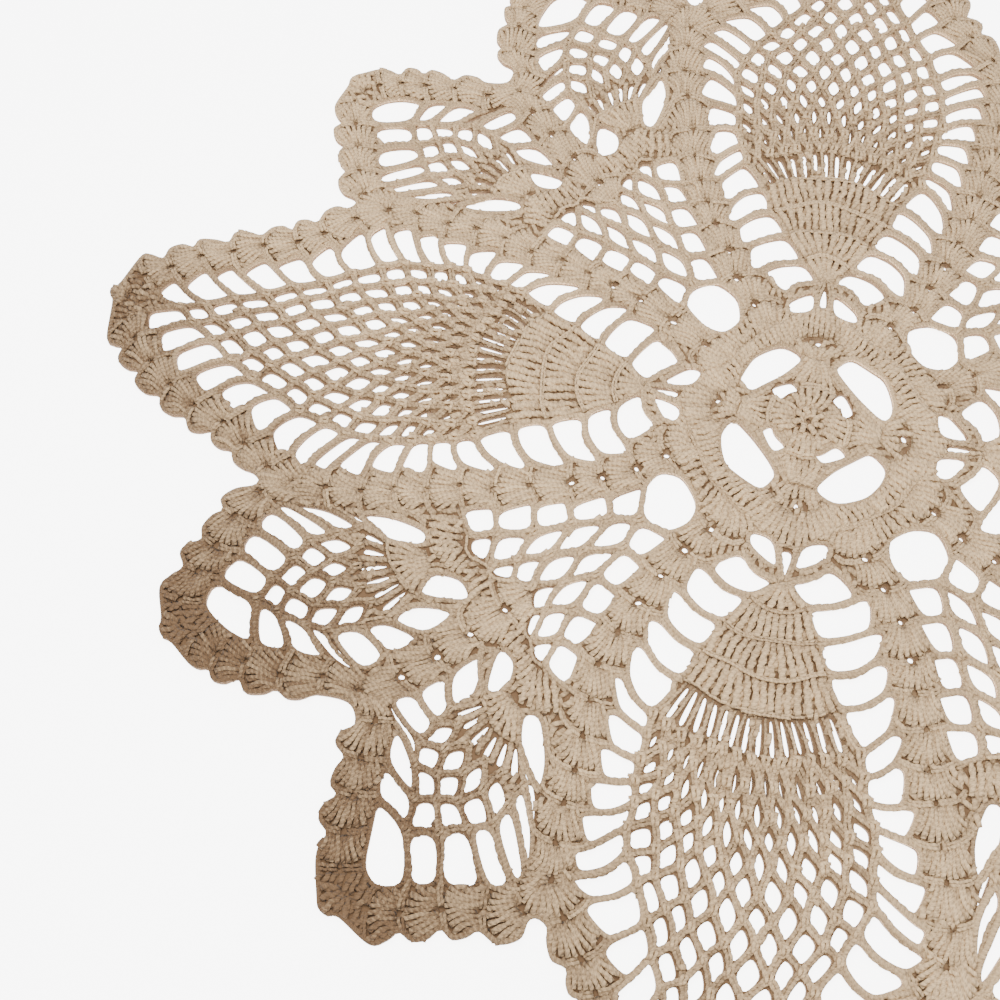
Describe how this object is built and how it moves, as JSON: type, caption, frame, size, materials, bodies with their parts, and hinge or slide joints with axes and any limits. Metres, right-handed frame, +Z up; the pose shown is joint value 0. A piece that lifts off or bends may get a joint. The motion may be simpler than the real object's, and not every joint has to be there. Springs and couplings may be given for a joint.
{
  "type": "lace doily",
  "caption": "Round pineapple-crochet lace doily with large and small scalloped lobes, worked in one piece from tan cotton yarn, lying flat.",
  "frame": {"origin": "middle of the bounding box, on the flat underside", "axes": "+Z up out of the doily's face, through its thickness; X and Y lie in the cloth, and a large lobe points 13 degrees round from -X"},
  "size_m": [0.4134, 0.413, 0.003],
  "materials": {
    "cotton_yarn": "matt twisted cotton"
  },
  "bodies": {
    "root": {"doily": "cotton_yarn"}
  },
  "joints": []
}
